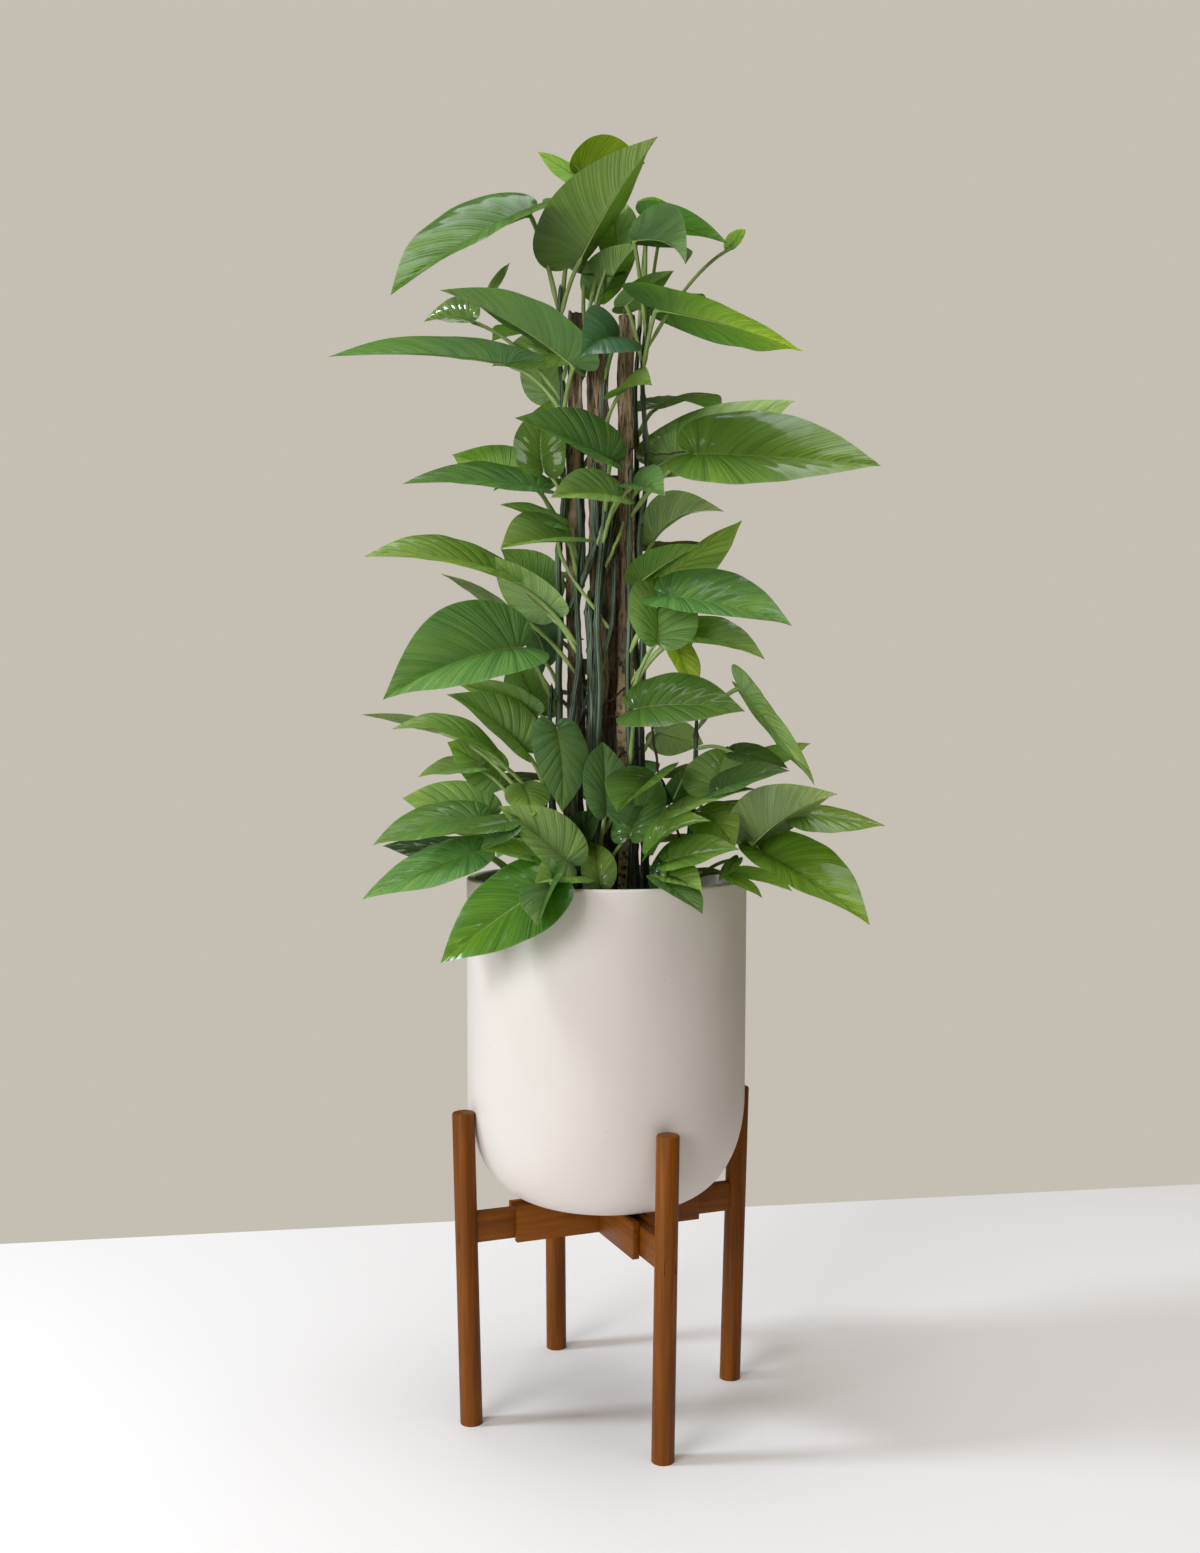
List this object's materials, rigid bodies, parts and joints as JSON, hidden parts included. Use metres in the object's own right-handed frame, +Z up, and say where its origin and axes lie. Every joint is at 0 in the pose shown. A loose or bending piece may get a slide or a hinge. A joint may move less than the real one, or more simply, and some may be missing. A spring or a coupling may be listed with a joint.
{
  "type": "potted jade pothos",
  "caption": "Climbing green pothos with heart-shaped leaves on rough wooden slats, in a round ceramic planter on an adjustable four-legged wooden stand.",
  "frame": {"origin": "on the floor, under the middle of the plant's and stand's whole outline", "axes": "+Z up, +X to the right and +Y away from the viewer of the front"},
  "size_m": [0.488, 0.3472, 1.1593],
  "materials": {
    "ceramic": "matte",
    "soil": "matte",
    "bark": "rough",
    "leaf": "satin",
    "wood": "satin"
  },
  "bodies": {
    "planter": {"pot": "ceramic", "soil": "soil", "cheek_lower_a": "wood", "cheek_lower_b": "wood", "cheek_upper_a": "wood", "cheek_upper_b": "wood", "slat_left": "bark", "slat_centre": "bark", "slat_right": "bark", "slat_back": "bark", "vine_left": "leaf", "vine_right": "leaf", "vine_front": "leaf", "vine_mid_left": "leaf", "vine_mid_right": "leaf", "shoot_left": "leaf", "shoot_front": "leaf", "shoot_right": "leaf", "vine_back_left": "leaf", "vine_back_right": "leaf", "shoot_back_left": "leaf", "shoot_back_right": "leaf"},
    "arm_front": {"leg_front": "wood", "tongue_front": "wood"},
    "arm_right": {"leg_right": "wood", "tongue_right": "wood"},
    "arm_back": {"leg_back": "wood", "tongue_back": "wood"},
    "arm_left": {"leg_left": "wood", "tongue_left": "wood"}
  },
  "joints": [
    {"name": "arm_front_slide", "type": "slide", "parent": "planter", "child": "arm_front", "axis": [0.3843, -0.9232, 0], "range_m": [0, 0.025]},
    {"name": "arm_right_slide", "type": "slide", "parent": "planter", "child": "arm_right", "axis": [0.9232, 0.3843, 0], "range_m": [0, 0.025]},
    {"name": "arm_back_slide", "type": "slide", "parent": "planter", "child": "arm_back", "axis": [-0.3843, 0.9232, 0], "range_m": [0, 0.025]},
    {"name": "arm_left_slide", "type": "slide", "parent": "planter", "child": "arm_left", "axis": [-0.9232, -0.3843, 0], "range_m": [0, 0.025]}
  ]
}
